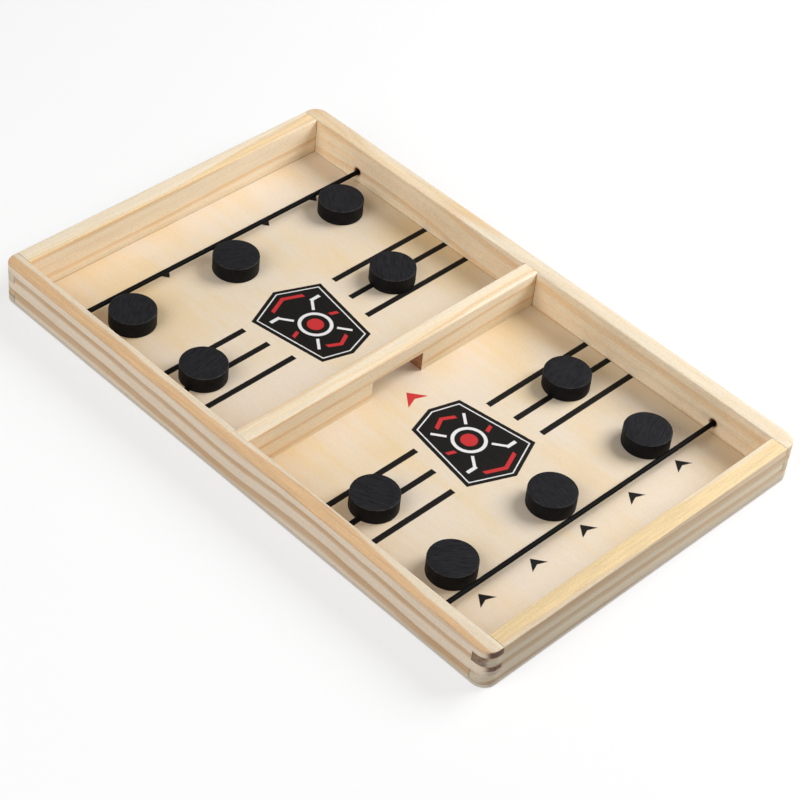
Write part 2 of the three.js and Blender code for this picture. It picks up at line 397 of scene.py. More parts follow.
class Finish:
    """The nodes of a new material, or of the world."""

    def __init__(self, name, owners=bpy.data.materials):
        self.owner = owners.new(name)
        self.owner.use_nodes = True
        self.tree = self.owner.node_tree
        self.tree.nodes.clear()

    def node(self, kind, settings=None, inputs=None, output=0):
        """Adds a shader node: its settings first, then its sockets, by name or by number. Several
        names of outputs give several values."""
        node = self.tree.nodes.new("ShaderNode" + kind)
        for key, setting in (settings or {}).items():
            if key == "stops":
                self.set_stops(node.color_ramp, setting)
            elif key == "curve":
                self.set_curve(node.mapping, setting)
            else:
                setattr(node, key, setting)
        for key, given in (inputs or {}).items():
            socket = self.find(node.inputs, key)
            if isinstance(given, Value):
                self.tree.links.new(given.socket, socket)
            elif socket.type == "RGBA" and len(given) == 3:
                socket.default_value = (*given, 1)
            else:
                socket.default_value = given
        if isinstance(output, tuple):
            return [Value(self, self.find(node.outputs, key)) for key in output]
        return Value(self, self.find(node.outputs, output)) if node.outputs else None

    @staticmethod
    def find(sockets, key):
        shown = [socket for socket in sockets if socket.enabled]
        if isinstance(key, int):
            return shown[key]
        return next(socket for socket in shown if socket.name == key)

    @staticmethod
    def set_stops(ramp, stops):
        """Stops are a place from 0 to 1 and a grey from 0 to 1."""
        ramp.interpolation = "EASE"
        while len(ramp.elements) < len(stops):
            ramp.elements.new(0.5)
        for element, (place, grey) in zip(ramp.elements, stops):
            element.position = place
            element.color = (grey, grey, grey, 1)

    @staticmethod
    def set_curve(mapping, points):
        curve = mapping.curves[0]
        while len(curve.points) < len(points):
            curve.points.new(0.5, 0.5)
        for point, (place, height) in zip(curve.points, points):
            point.location = (place, height)
        mapping.update()

    def math(self, operation, *values):
        return self.node("Math", {"operation": operation}, dict(enumerate(values)))

    def least(self, first, *rest):
        """The least of some numbers: where all of some masks meet."""
        for other in rest:
            first = self.math("MINIMUM", first, other)
        return first

    def most(self, first, *rest):
        """The most of some numbers: where any of some masks is."""
        for other in rest:
            first = self.math("MAXIMUM", first, other)
        return first

    def rise(self, value, low, high):
        """0 below low, 1 above high and smooth between."""
        return self.node(
            "MapRange", {"interpolation_type": "SMOOTHSTEP"},
            {"Value": value, "From Min": low, "From Max": high},
        )

    def mix(self, a, b, factor, blend="MIX"):
        return self.node(
            "Mix", {"data_type": "RGBA", "blend_type": blend},
            {"Factor": factor, "A": a, "B": b},
        )

    def shade(self, tint, brightness):
        """A colour made darker or lighter by a number that varies."""
        grey = self.node("CombineColor", None, dict(enumerate([brightness] * 3)))
        return self.mix(tint, grey, 1.0, "MULTIPLY")

    def seen_by(self, *kinds):
        """1 for a ray of any of the kinds, such as the camera's."""
        outputs = tuple(f"Is {kind} Ray" for kind in kinds)
        return self.most(*self.node("LightPath", None, None, outputs))

    def place(self):
        """The point's place on the board in millimetres: x, y and z."""
        point = self.node("TexCoord", None, None, "Object")
        size = {"Vector": point, "Scale": 1 / MM}
        return self.split(self.node("VectorMath", {"operation": "SCALE"}, size))

    def mark(self, name):
        """The three numbers that a piece's mesh holds under a name."""
        return self.split(self.node("Attribute", {"attribute_name": name}, None, "Vector"))

    def split(self, vector):
        return self.node("SeparateXYZ", None, {0: vector}, ("X", "Y", "Z"))

    def noise(self, x, y, z, detail=2.0, roughness=0.5):
        """Noise from 0 to 1 in coordinates that are already stretched."""
        vector = self.node("CombineXYZ", None, {0: x, 1: y, 2: z})
        return self.node(
            "TexNoise", None,
            {"Vector": vector, "Scale": 1.0, "Detail": detail, "Roughness": roughness},
        )

    def surface(self, base_color, roughness, relief=None, relief_depth=0.0, specular=0.4):
        """Ends the material in a Principled surface, with its relief in metres."""
        inputs = {"Base Color": base_color, "Roughness": roughness, "Specular IOR Level": specular}
        if relief:
            inputs["Normal"] = self.node("Bump", None, {"Height": relief, "Distance": relief_depth})
        shader = self.node("BsdfPrincipled", None, inputs)
        self.node("OutputMaterial", None, {"Surface": shader})
        return self.owner


# A stick of pine: the axis that it runs along, the axis across it, where its outer face is, the way
# in from there and the colour of its late wood. Rings are (height of the upper edge on the outer
# face, depth of the late wood below it, strength). Lean is how much a ring drops for each millimetre
# inwards. Drift says how the rings wander, as (share of the length, shift in millimetres). Band is a
# warm stripe along the top face: its colour, half its width, its softness, its strength and where
# its middle runs, as (share of the length, millimetres inwards). Scorch is the darkness of the end
# grain, as (end, from height, to height, strength). Tone and painted light is the lightness on the
# faces at the two ends and on the top: partly the wood's own, and partly painted light and shade
# for how the lamps fall on each face, such as the near rail's outer face painted lighter towards
# its +X end. Warmth is how much of the late wood's colour is in all the faces but the top, and
# early is the colour of their early wood.
Stick = namedtuple(
    "Stick",
    "name along across outer inward late rings lean drift band scorch tone seed warmth early",
    defaults=(0.0, "pine_pale"),
)

STICKS = {
    "side_rail_left": Stick(
        "pine_left_rail", 1, 0, -HALF_WIDTH, 1, "pine_late",
        rings=((8.9, 6.4, 0.69), (18.6, 4.4, 0.7), (26.4, 4.4, 0.46)), lean=0.5,
        drift=(
            (0, 0), (0.1, -1.6), (0.22, 0.1), (0.34, 1.4), (0.5, -1.5), (0.6, -0.4), (0.8, 0.7),
            (1, 0.4),
        ),
        band=("pine_tan", 10, 0.9, 1.0, (
            (0, -6.2), (0.11, -5.8), (0.18, -4.9), (0.26, -3.0), (0.34, -1.6), (0.42, -2.6),
            (0.52, -3.9), (0.75, -3.8), (1, -3.0),
        )),
        scorch=((-1, 18.8, 26, 1.0), (-1, 10.6, 14.5, 0.85), (-1, 7, 10.6, 0.3), (1, 0, 26, 0.3)),
        # The left rail's faces take the rosier early wood, as painted light from the left
        tone=(1.06, 1.1, 0.89), seed=3.1, early="pine_rosy",
    ),
    "side_rail_right": Stick(
        "pine_right_rail", 1, 0, HALF_WIDTH, -1, "pine_amber",
        rings=((5.9, 5.0, 0.36), (22.4, 6.0, 0.36), (13.0, 6.0, 0.12)), lean=0.3,
        drift=((0, -0.3), (0.3, 0), (0.45, 0.3), (0.6, 2.4), (0.8, 8.0), (0.95, 4.5), (1, 3.5)),
        band=("pine_gold", 2.5, 2.5, 0.5, ((0, -6), (0.5, -4), (0.7, 3), (0.8, 6), (0.9, 8), (1, 8.5))),
        scorch=((-1, 0, 26, 0.12), (1, 0, 26, 0.5)),
        tone=(1.08, 1.14, 0.97), seed=11.7, warmth=0.12,
    ),
    "end_rail_near": Stick(
        "pine_near_rail", 0, 1, -HALF_LENGTH, 1, "pine_late",
        rings=((5.0, 3.0, 0.5), (14.8, 5.0, 0.54), (24.3, 7.4, 0.52), (28.6, 4.2, 0.5)), lean=0.6,
        drift=((0, 0.2), (0.4, -1.8), (0.6, -3.0), (0.75, -4.2), (1, -4.8)),
        band=("pine_gold", 7.0, 1.8, 1.0, (
            (0, 9.6), (0.2, 9.0), (0.4, 8.4), (0.5, 6.0), (0.6, 3.2), (0.77, 0.1), (1, 1.8),
        )),
        scorch=((-1, 13, 20, 0.66), (-1, 0, 8, 0.16), (1, 0, 26, 0.4)),
        # The near rail's outer face is painted lighter towards its +X end, as painted light
        tone=(0.95, 1.19, 0.97), seed=23.9,
    ),
    "end_rail_far": Stick(
        "pine_far_rail", 0, 1, HALF_LENGTH, -1, "pine_amber",
        rings=((4.4, 3.4, 0.54), (19.6, 4.6, 0.56), (-1.4, 2.4, 0.12), (12.0, 2.6, 0.1)), lean=-0.5,
        drift=((0, 0), (0.45, 0), (0.7, 1.6), (1, 3.2)),
        band=("pine_gold", 1.4, 1.6, 0.85, ((0, 9.5), (0.45, 9.5), (0.7, 8.0), (0.9, 6.0), (1, 5.0))),
        scorch=((-1, 13, 20, 0.2), (-1, 3.6, 6.2, 0.5), (-1, 0, 8, 0.14), (1, 0, 26, 0.4)),
        tone=(1.08, 1.08, 1.06), seed=31.3,
    ),
    "divider": Stick(
        "pine_divider", 0, 1, DIVIDER_LOW.y, 1, "pine_amber",
        rings=((6.5, 3.2, 0.46), (15.8, 2.8, 0.54), (24.4, 2.2, 0.55), (31.4, 2.2, 0.46)), lean=0.77,
        drift=((0, 0), (0.42, 0), (0.6, 0.9), (0.8, 2.7), (1, 2.5)),
        band=("pine_gold", 1.4, 2.4, 0.5, ((0, 5.5), (0.3, 4.5), (0.5, 2.5), (0.7, 3.5), (1, 4.5))),
        scorch=((-1, 0, 26, 0.3), (1, 0, 26, 0.8)),
        tone=(1.04, 1.04, 1.04), seed=43.7,
    ),
}

# Heights that the ring ramp spans, in millimetres on the outer face
RAMP_LOW = -12
RAMP_HIGH = 44

# Fine streaks of late wood: how strong they are on the faces, and how much more so on the tops
STREAKS = 0.14
TOP_STREAKS = 0.1
DIVIDER_TOP_STREAKS = -0.02

# How dark the joint lines are where a crosswise stick meets the side rails
SEAM_DARKNESS = 0.45

# A drift or band curve's height of 0.5 stands for no shift, and its full height for this many
# millimetres
DRIFT_SPAN = 24


def on_ramp(height):
    """Where a height lies on the ring ramp, from 0 to 1."""
    return (height - RAMP_LOW) / (RAMP_HIGH - RAMP_LOW)


def pine(stick):
    """Bare sanded pine, with its growth rings in the solid so that they join up over the edges."""
    wood = Finish(stick.name)
    tints = colours()
    place = wood.place()
    facing = wood.mark(FACING_MARK)
    along, across, up = place[stick.along], place[stick.across], place[2]
    inside = (across - stick.outer / MM) * stick.inward
    half = (HALF_LENGTH if stick.along else HALF_WIDTH) / MM
    share = (along + half) / (2 * half)
    crown = wood.rise(up, TOP / MM - 0.6, TOP / MM - 0.05)

    wander = wood.noise(along * 0.02, inside * 0.05, stick.seed, 1.0) - 0.5
    ripple = wood.noise(along * 0.09, inside * 0.3, up * 0.3 + stick.seed) - 0.5
    drift = shift_along(wood, share, stick.drift)
    height = up + inside * stick.lean - drift + wander * 1.6 + ripple

    fibre = wood.noise(inside * 2.2, up * 2.2 + stick.seed, along * 0.05, 4.0, 0.6)
    grain = wood.noise(inside * 0.8, up * 0.8 + stick.seed, along * 0.035, 3.0, 0.6)
    ticks = wood.noise(inside * 1.3, up * 1.3, along * 0.6 + stick.seed, 2.0)
    growth = wood.noise(height * 1.1, inside * 0.12, along * 0.012 + stick.seed, 3.0, 0.65)
    cloud = wood.noise(inside * 0.16, up * 0.12, along * 0.03 + stick.seed, 2.0)
    flecks = wood.rise(wood.noise(inside * 4.5, up * 4.5, along * 0.4 + stick.seed, 1.0), 0.64, 0.76)

    late = ring_shade(wood, stick, height)
    streaks = wood.rise(growth, 0.38, 0.72)
    is_divider = stick.name == "pine_divider"
    streaking = STREAKS + crown * (DIVIDER_TOP_STREAKS if is_divider else TOP_STREAKS)
    warmth = late * (0.62 + fibre * 0.4 + growth * 0.4) + streaks * streaking
    warmth = warmth + (cloud - 0.5) * 0.4 + (grain - 0.5) * 0.3 + (1 - crown) * stick.warmth
    early = wood.mix(getattr(tints, stick.early), tints.pine_pale, crown)
    tint = wood.mix(early, getattr(tints, stick.late), wood.rise(warmth, -0.15, 1.15))

    name, width, softness, strength, course = stick.band
    edge = abs(inside - shift_along(wood, share, course)) - width + wander * 3.0 + ripple * 1.2
    band = (1 - wood.rise(edge, -softness, softness)) * crown * strength
    stripe = wood.shade(getattr(tints, name), 0.8 + grain * 0.26 + cloud * 0.14)
    tint = wood.mix(tint, stripe, wood.rise(band * (0.7 + grain * 0.3 + cloud * 0.3), 0.0, 1.0))

    end = wood.rise(abs(facing[stick.along]), 0.45, 0.9)
    pith = wood.noise(along * 0.9 + across * 1.4, up * 0.5, stick.seed, 2.0)
    scorch = scorch_shade(wood, stick, along, up) * end * (0.6 + pith * 0.8)
    burnt = tints.burnt_rim if is_divider else tints.end_grain
    tint = wood.mix(tint, burnt, wood.rise(scorch, -0.05, 1.0))
    if stick.along:
        tint = wood.mix(tint, tints.burnt_rim, hole_shade(wood, along, up, inside) * (0.5 + grain))

    # Each face's lightness is partly the wood's own and partly painted light and shade for how the lamps
    # fall on it
    low, high, top = stick.tone
    tone = (low + (high - low) * share) * (1 - crown) + crown * top
    speckle = 1 + (fibre - 0.5) * 0.24 + (grain - 0.5) * 0.24 + (ticks - 0.5) * 0.3 - flecks * 0.12
    tint = wood.shade(tint, tone * speckle)
    if not stick.along:
        tint = wood.shade(tint, 1 - seam_shade(wood, along, inside, crown, is_divider))
    relief = fibre * 0.6 + streaks * 0.4 - flecks * 0.5
    return wood.surface(tint, 0.52 + fibre * 0.16, relief, 0.045 * MM, 0.35)


def seam_shade(wood, along, inside, crown, is_divider):
    """The dark lines where a crosswise stick meets the side rails."""
    shoulder = COURT_HALF_WIDTH / MM
    depth = (HALF_LENGTH - COURT_HALF_LENGTH) / MM
    joint = wood.rise(abs(along), shoulder - 0.5, shoulder - 0.1)
    shown = 1 - crown if is_divider else wood.most(crown, wood.rise(inside, depth - 0.6, depth - 0.1))
    return joint * shown * SEAM_DARKNESS


def shift_along(wood, share, course):
    """A shift in millimetres that follows a course along the stick."""
    points = [(at, 0.5 + shift / DRIFT_SPAN) for at, shift in course]
    curve = wood.node("FloatCurve", {"curve": points}, {"Value": share})
    return (curve - 0.5) * DRIFT_SPAN


def ring_shade(wood, stick, height):
    """How much late wood there is at a height: soon dark below a ring's edge, then pale at once."""
    stops = [(0.0, 0.0)]
    for edge, depth, strength in sorted(stick.rings):
        stops += [(on_ramp(edge - depth), 0.0), (on_ramp(edge - depth * 0.55), strength * 0.88)]
        stops += [(on_ramp(edge - 0.6), strength), (on_ramp(edge + 0.6), 0.0)]
    return wood.node("ValToRGB", {"stops": stops}, {"Fac": on_ramp(height)}, "Color")


def scorch_shade(wood, stick, along, up):
    """How dark the saw has burnt the end grain."""
    spots = []
    for end, low, high, strength in stick.scorch:
        spot = wood.least(wood.rise(up, low - 0.4, low + 0.4), 1 - wood.rise(up, high - 0.4, high + 0.4))
        spots.append(spot * wood.rise(along * end, 0, 1) * strength)
    return wood.most(*spots)


def hole_shade(wood, along, up, inside):
    """The burnt rims of the cord holes."""
    size = sizes()
    rise = up - (CORD_Z + size.cord_hole_lift) / MM
    away = abs(along) - CORD_Y / MM
    reach = wood.math("SQRT", away * away + rise * rise)
    rim = size.cord_hole / 2 / MM
    return (1 - wood.rise(reach, rim - 0.3, rim + 1.3)) * wood.rise(inside, 6, 8)


# The print on each court, in millimetres from the middle of the print. Up is towards the gate. The
# far court's print is the near one turned half round.
PRINT_MIDDLE_Y = -0.83
PRINT_TURN = 0.0053
LINE_THICKNESS = 3.42
LINES = ((-44.33, 25.8), (-60.26, 29.1), (-75.92, 31.8))
ARROW_APEX_Y = -131.6
ARROW_SPACING = 35.3
ARROW_COUNT = 5
ARROW_SHAPE = (5.0, 6.5, 4.55)
ARROW_BOLD = 0.2
GATE_ARROW_APEX_Y = -11.25
GATE_ARROW_SHAPE = (7.1, 8.9, 6.2)
EMBLEM_MIDDLE_Y = -58.0
EMBLEM_HALF_HEIGHT = 30.8


def sheet_print(ply, x, y):
    """Masks of the black, white and red ink."""
    blur = 0.16
    ragged = (ply.noise(x * 1.6, y * 0.5, 7.0, 2.0) - 0.5) * 0.35
    away = y - PRINT_MIDDLE_Y - x * PRINT_TURN
    side = ply.math("SIGN", away) * -1
    across, along = (x + away * PRINT_TURN) * side, away * side
    reach = abs(across)

    def inked(distance):
        """1 inside a shape whose edge is where its distance is zero."""
        return 1 - ply.rise(distance + ragged, -blur, blur)

    def bar(value, middle, half):
        return abs(value - middle) - half

    def arrow(offset, ahead, apex, shape):
        tip_x, tip_back, notch_back = shape
        front = ahead - (apex - offset * (tip_back / tip_x))
        back = (apex - notch_back) - offset * ((tip_back - notch_back) / tip_x) - ahead
        return ply.most(front, back)

    lines = [
        ply.most(bar(along, middle, LINE_THICKNESS / 2), start - reach) for middle, start in LINES
    ]
    gate_arrow = arrow(reach, along, GATE_ARROW_APEX_Y, GATE_ARROW_SHAPE)
    fold = ply.math("FRACT", x * side / ARROW_SPACING + 0.5 + ARROW_COUNT)
    in_row = reach - ARROW_COUNT / 2 * ARROW_SPACING
    off_arrow = abs(fold - 0.5) * ARROW_SPACING
    arrows = arrow(off_arrow, (y - PRINT_MIDDLE_Y) * side, ARROW_APEX_Y, ARROW_SHAPE)
    arrows = ply.most(arrows - ARROW_BOLD, in_row)

    up = along - EMBLEM_MIDDLE_Y
    lift = up - 2.0
    ring_way = ply.math("SQRT", reach * reach + lift * lift)
    badge = ply.most(
        reach + up * 0.16 - 21.4, up + reach * 0.3 - EMBLEM_HALF_HEIGHT,
        reach * 0.42 - up - EMBLEM_HALF_HEIGHT,
    )
    keyline = bar(badge, -2.6, 0.36)
    ring = bar(ring_way, 8.4, 0.95)
    centre = ring_way - 4.5
    sticks = ply.most(bar(abs(lift) - reach * 1.3, 0, 1.3), 11.4 - ring_way, ring_way - 19.5)
    blades = ply.most(bar(lift, -15.6, 1.0), bar(reach, 14.2, 3.2))
    wings = ply.most(bar(up - reach * 0.35, -3.4, 1.1), bar(reach, 13.6, 2.3))
    upper_chevron = ply.most(bar(up + reach * 0.5, 21.6, 1.2), reach - 7.0)
    lower_chevron = ply.most(bar(up - reach * 0.42, -23.6, 1.2), reach - 11.0)

    black = ply.most(*[inked(shape) for shape in (*lines, arrows, badge)])
    white = ply.most(*[inked(shape) for shape in (keyline, ring, sticks, blades)])
    red_shapes = (gate_arrow, centre, wings, upper_chevron, lower_chevron)
    red = ply.most(*[inked(shape) for shape in red_shapes])
    return black, white, red


# Where the face veneer is more golden: each court's warm patches, as x, y, radius and strength
WARM_PATCHES = ((-84, -22, 38, 0.25), (74, -30, 36, 0.5), (-60, 146, 60, 0.35), (86, 60, 34, 0.4))

# The sheet's middle ply: where its lower and its upper border lie, as shares of the thickness
CORE_STARTS = (0.3, 0.36)
CORE_ENDS = (0.64, 0.7)


def plywood():
    """Pale plywood with the courts printed on it, and its plies showing at the edge."""
    ply = Finish("printed_plywood")
    tints = colours()
    x, y, z = ply.place()
    facing = ply.mark(FACING_MARK)
    fibre = ply.noise(x * 2.2, y * 0.09, z * 0.5 + 5.0, 4.0, 0.6)
    thread = ply.noise(x * 0.8, y * 0.03, 3.0, 3.0, 0.6)
    figure = ply.noise(x * 0.14, y * 0.016, 2.0, 3.0, 0.6)
    cloud = ply.noise(x * 0.024, y * 0.016, 8.0, 2.0)
    ticks = ply.noise(x * 1.2, y * 1.2, z * 0.3, 2.0)
    flecks = ply.rise(ply.noise(x * 3.2, y * 0.5, 1.0, 1.0), 0.66, 0.78)
    warm = (cloud - 0.5) * 1.9 + (figure - 0.5) * 1.1 + (thread - 0.5) * 0.25 + 0.32
    for spot_x, spot_y, radius, strength in WARM_PATCHES:
        off_x, off_y = (x - spot_x) / radius, (y - spot_y) / radius
        warm = warm + (1 - ply.rise(off_x * off_x + off_y * off_y, 0.0, 1.6)) * strength
    tint = ply.mix(tints.ply_face, tints.ply_warm, ply.rise(warm, 0.0, 1.1))
    speckle = 1 + (fibre - 0.5) * 0.09 + (thread - 0.5) * 0.07 + (ticks - 0.5) * 0.12
    # The y term paints the sheet darker towards the near end, as painted shade that evens out the lamps'
    # stronger light there
    tint = ply.shade(tint, speckle - flecks * 0.06 + y * 0.00022 - 0.035)

    thickness = FLOOR / MM
    below = 1 - ply.rise(z, *[share * thickness for share in CORE_ENDS])
    core = ply.least(ply.rise(z, *[share * thickness for share in CORE_STARTS]), below)
    edge = 1 - ply.rise(abs(facing[2]), 0.3, 0.7)
    tint = ply.mix(tint, tints.ply_core, edge * (0.5 + core * 0.5) * (0.5 + ticks))
    # Along the sheet's edge the upper dark line is the joint with the frame and the lower one a painted
    # shadow where the sheet meets the floor; the edges facing front and back are painted lighter, as
    # painted light
    joint_line_and_contact_shadow = ply.most(1 - ply.rise(z, 0.05, 0.35), ply.rise(z, thickness - 0.35, thickness - 0.05))
    tint = ply.shade(tint, 1 + abs(facing[1]) * 0.16 - joint_line_and_contact_shadow * edge * 0.5)

    # The floor turns darker in a thin line along the rails' inner faces
    to_rail = ply.most(abs(x) - COURT_HALF_WIDTH / MM, abs(y) - COURT_HALF_LENGTH / MM)
    tint = ply.shade(tint, 1 - ply.rise(to_rail, -0.9, -0.1) * ply.rise(facing[2], 0.3, 0.7) * 0.3)

    black, white, red = sheet_print(ply, x, y)
    upper = ply.rise(z, thickness - 0.2, thickness - 0.1)
    cover = upper * (0.99 + (fibre - 0.5) * 0.02)
    tint = ply.mix(tint, tints.ink_black, black * cover)
    tint = ply.mix(tint, tints.ink_white, white * cover * 0.97)
    tint = ply.mix(tint, tints.ink_red, red * cover)
    ink = ply.most(black, white, red) * upper
    relief = fibre * 0.5 - flecks * 0.6 + ink * 0.4
    return ply.surface(tint, 0.5 + fibre * 0.12 + ink * 0.1, relief, 0.03 * MM, 0.12)


def stained_wood():
    """Black stained wood whose grain shows through, worn along the rims and lighter there, partly as a
    painted highlight.
    """
    stain = Finish("black_stain")
    tints = colours()
    x, y, z = stain.mark(GRAIN_MARK)
    lines = stain.noise(x * 0.18, y * 1.1, z * 0.6, 4.0, 0.7)
    pores = stain.rise(stain.noise(x * 0.22, y * 2.6, z * 1.6, 1.0), 0.6, 0.74)
    cloud = stain.noise(x * 0.1, y * 0.2, z * 0.1, 2.0)

    px, py, pz = stain.mark(PUCK_MARK)
    radius = (PUCK_HIGH.x - PUCK_LOW.x) / 2 / MM
    deep = (PUCK_HIGH.z - PUCK_LOW.z) / 2 / MM
    rim_size = sizes().puck_rim / MM
    reach = stain.math("SQRT", px * px + py * py)
    rim = stain.least(
        stain.rise(reach, radius - rim_size, radius - rim_size * 0.4),
        stain.rise(abs(pz), deep - rim_size, deep - rim_size * 0.4),
    )
    # The rims are lighter partly from real wear and partly as a painted highlight
    rubbed_and_sheen = stain.rise(rim * (0.35 + cloud * 0.9), 0.2, 1.0)
    # The puck's sides are painted darker than its top, as painted shade
    shaded_flank = 1 - stain.rise(abs(pz), deep - rim_size, deep - rim_size * 0.3)
    tint = stain.shade(tints.puck_stain, 1 - shaded_flank * 0.65)
    tint = stain.mix(tint, tints.puck_worn_and_sheen, rubbed_and_sheen * 0.26)
    tint = stain.shade(tint, lines * 3.2 - 0.47 - pores * 0.3)
    relief = lines * 0.8 - pores * 0.7
    return stain.surface(tint, 0.46 + lines * 0.16 + cloud * 0.06, relief, 0.09 * MM, 0.1)


STRANDS = 6
BRAID_PITCH = 1.25 * MM
BRAID_DEPTH = 0.13 * MM


def braid():
    """Fine black braid: threads that run along each strand, lighter along them as painted highlights."""
    thread = Finish("black_braid")
    tints = colours()
    way, side, height = thread.mark(LAY_MARK)
    fuzz = thread.noise(way * 3.0, side * 4.0, height * 4.0, 3.0, 0.6)
    turn = thread.math("ARCTAN2", height, side)
    lay = 2 * math.pi / (BRAID_PITCH / MM)
    first = thread.math("SINE", (turn * STRANDS + way * lay) * 3.0)
    second = thread.math("SINE", (turn * STRANDS - way * lay) * 3.0)
    # The threads and their fuzz make the black lighter and darker, as painted highlights on the braid
    tint = thread.shade(tints.cord_black, 0.6 + fuzz * 0.8 + first * 0.15 + second * 0.15)
    relief = first * 0.3 + second * 0.3 + fuzz
    return thread.surface(tint, 0.55 + fuzz * 0.2, relief, 0.03 * MM, 0.12)


# The pieces

def in_spans(z, spans):
    return any(low < z < high for low, high in spans)


def model_rail(name, low, high, axis, reach, spans):
    """A bar that ends in fingers. Low and high are the bar between its shoulders, axis is the way
    that it runs, reach is where the fingers end and spans are the fingers' heights."""
    size = sizes()
    rail = add_block(name, low, high)
    levels = sorted({z for span in spans for z in span if low.z + OVERRUN < z < high.z - OVERRUN})
    out = Vector((0, 0, 0))
    with Bench(rail) as bench:
        for z in levels:
            bench.slice((0, 0, z), (0, 0, 1))
        for end in (-1, 1):
            out[axis] = end * (reach - high[axis])
            bench.pick_faces(lambda c, n: n[axis] * end > 0.9 and in_spans(c.z, spans))
            bpy.ops.mesh.extrude_region_move(TRANSFORM_OT_translate={"value": out})
            pick_all(False)
        bench.pick_edges(lambda a, b, _: all(
            near(abs(p.x), HALF_WIDTH) and near(abs(p.y), HALF_LENGTH) for p in (a, b)
        ))
        bench.round_edges(size.corner_radius, CORNER_SEGMENTS)
        inner = (COURT_HALF_LENGTH, COURT_HALF_WIDTH)[axis]
        bench.pick_edges(lambda a, b, _: near(a.z, TOP) and near(b.z, TOP) and (
            on_outline(a) and on_outline(b)
            or all(near(abs(p[1 - axis]), inner) and abs(p[axis]) < high[axis] + OVERRUN for p in (a, b))
        ))
        bench.round_edges(size.edge_rounding, EDGE_SEGMENTS)
    return rail


def on_outline(point):
    """Whether a point is on the board's outline, which has round corners."""
    radius = sizes().corner_radius
    x = max(abs(point.x) - (HALF_WIDTH - radius), 0)
    y = max(abs(point.y) - (HALF_LENGTH - radius), 0)
    return near(math.hypot(x, y), radius)


def finger_spans(first):
    """Heights of every other finger, from the sheet up, starting with the first or the second."""
    size = sizes()
    lines = [FLOOR + count * size.finger_height for count in range(FINGERS)] + [TOP]
    gap = size.glue_line if first else 0.0
    return [
        (lines[count] + gap, lines[count + 1] - (gap if count < FINGERS - 1 else 0))
        for count in range(first, FINGERS, 2)
    ]


class BOARD_OT_sheet(bpy.types.Operator):
    """Makes the printed plywood sheet under the frame"""

    bl_idname = "board.sheet"
    bl_label = "Printed Sheet"

    def execute(self, context):
        size = sizes()
        sheet = add_block("printed_sheet", SHEET_LOW, SHEET_HIGH)
        plies = [SHEET_LOW.z + (FLOOR - SHEET_LOW.z) * (ply / PLIES) for ply in range(1, PLIES)]
        with Bench(sheet) as bench:
            bench.pick_edges(lambda a, b, _: near(a.x, b.x) and near(a.y, b.y))
            bench.round_edges(size.corner_radius, CORNER_SEGMENTS)
            bench.pick_edges(lambda a, b, _: near(a.z, b.z))
            bench.round_edges(size.seam_softening, ARRIS_SEGMENTS)
            for z in plies:
                bench.slice((0, 0, z), (0, 0, 1))
            bench.pick_faces(lambda c, n: abs(n.z) < 0.5 and plies[0] < c.z < plies[1])
            bpy.ops.mesh.extrude_region_shrink_fatten(
                TRANSFORM_OT_shrink_fatten={"value": -size.core_step},
            )
        take(sheet)
        bpy.ops.object.shade_smooth_by_angle(angle=CREASE)
        mark_facing(sheet)
        finish_piece(sheet, plywood(), "plywood_floor", "board", "base_panel")
        return {"FINISHED"}


class BOARD_OT_side_rails(bpy.types.Operator):
    """Makes the two side rails, with the divider's housing, the cord holes and the knots' pockets"""

    bl_idname = "board.side_rails"
    bl_label = "Side Rails"

    def execute(self, context):
        size = sizes()
        shoulder = COURT_HALF_LENGTH - size.glue_line
        low = Vector((COURT_HALF_WIDTH, -shoulder, FLOOR))
        high = Vector((HALF_WIDTH, shoulder, TOP))
        right = model_rail("side_rail_right_looks", low, high, 1, HALF_LENGTH, finger_spans(1))
        cut_away(right, *self.cutters())
        soften(right, size.seam_softening)
        left = turned_copy(right, "side_rail_left_looks", math.pi)
        for rail, node in ((right, "side_rail_right"), (left, "side_rail_left")):
            finish_stick(rail, STICKS[node].name, node)
        return {"FINISHED"}

    @staticmethod
    def cutters():
        """The housing, and a hole and a pocket for each cord."""
        size = sizes()
        half = (DIVIDER_HIGH.y - DIVIDER_LOW.y) / 2 + size.glue_line
        yield add_block(
            "housing",
            (COURT_HALF_WIDTH - OVERRUN, -half, FLOOR - OVERRUN),
            (COURT_HALF_WIDTH + size.housing_depth, half, TOP + OVERRUN),
        )
        pocket_x = (COURT_HALF_WIDTH + HALF_WIDTH) / 2
        for y in (-CORD_Y, CORD_Y):
            hole_z = CORD_Z + size.cord_hole_lift
            yield add_rod(
                "hole", size.cord_hole / 2,
                (COURT_HALF_WIDTH - OVERRUN, y, hole_z), (pocket_x, y, hole_z), HOLE_SIDES,
            )
            yield add_rod(
                "pocket", size.knot_pocket / 2,
                (pocket_x, y, FLOOR - OVERRUN), (pocket_x, y, CORD_Z + size.knot_pocket / 2),
                HOLE_SIDES,
            )


class BOARD_OT_end_rails(bpy.types.Operator):
    """Makes the two end rails"""

    bl_idname = "board.end_rails"
    bl_label = "End Rails"

    def execute(self, context):
        size = sizes()
        shoulder = COURT_HALF_WIDTH - size.glue_line
        low = Vector((-shoulder, -HALF_LENGTH, FLOOR))
        high = Vector((shoulder, -COURT_HALF_LENGTH, TOP))
        near_rail = model_rail("end_rail_near_looks", low, high, 0, HALF_WIDTH, finger_spans(0))
        soften(near_rail, size.seam_softening)
        far_rail = turned_copy(near_rail, "end_rail_far_looks", math.pi)
        for rail, node in ((near_rail, "end_rail_near"), (far_rail, "end_rail_far")):
            finish_stick(rail, "pine_end_rails", node)
        return {"FINISHED"}


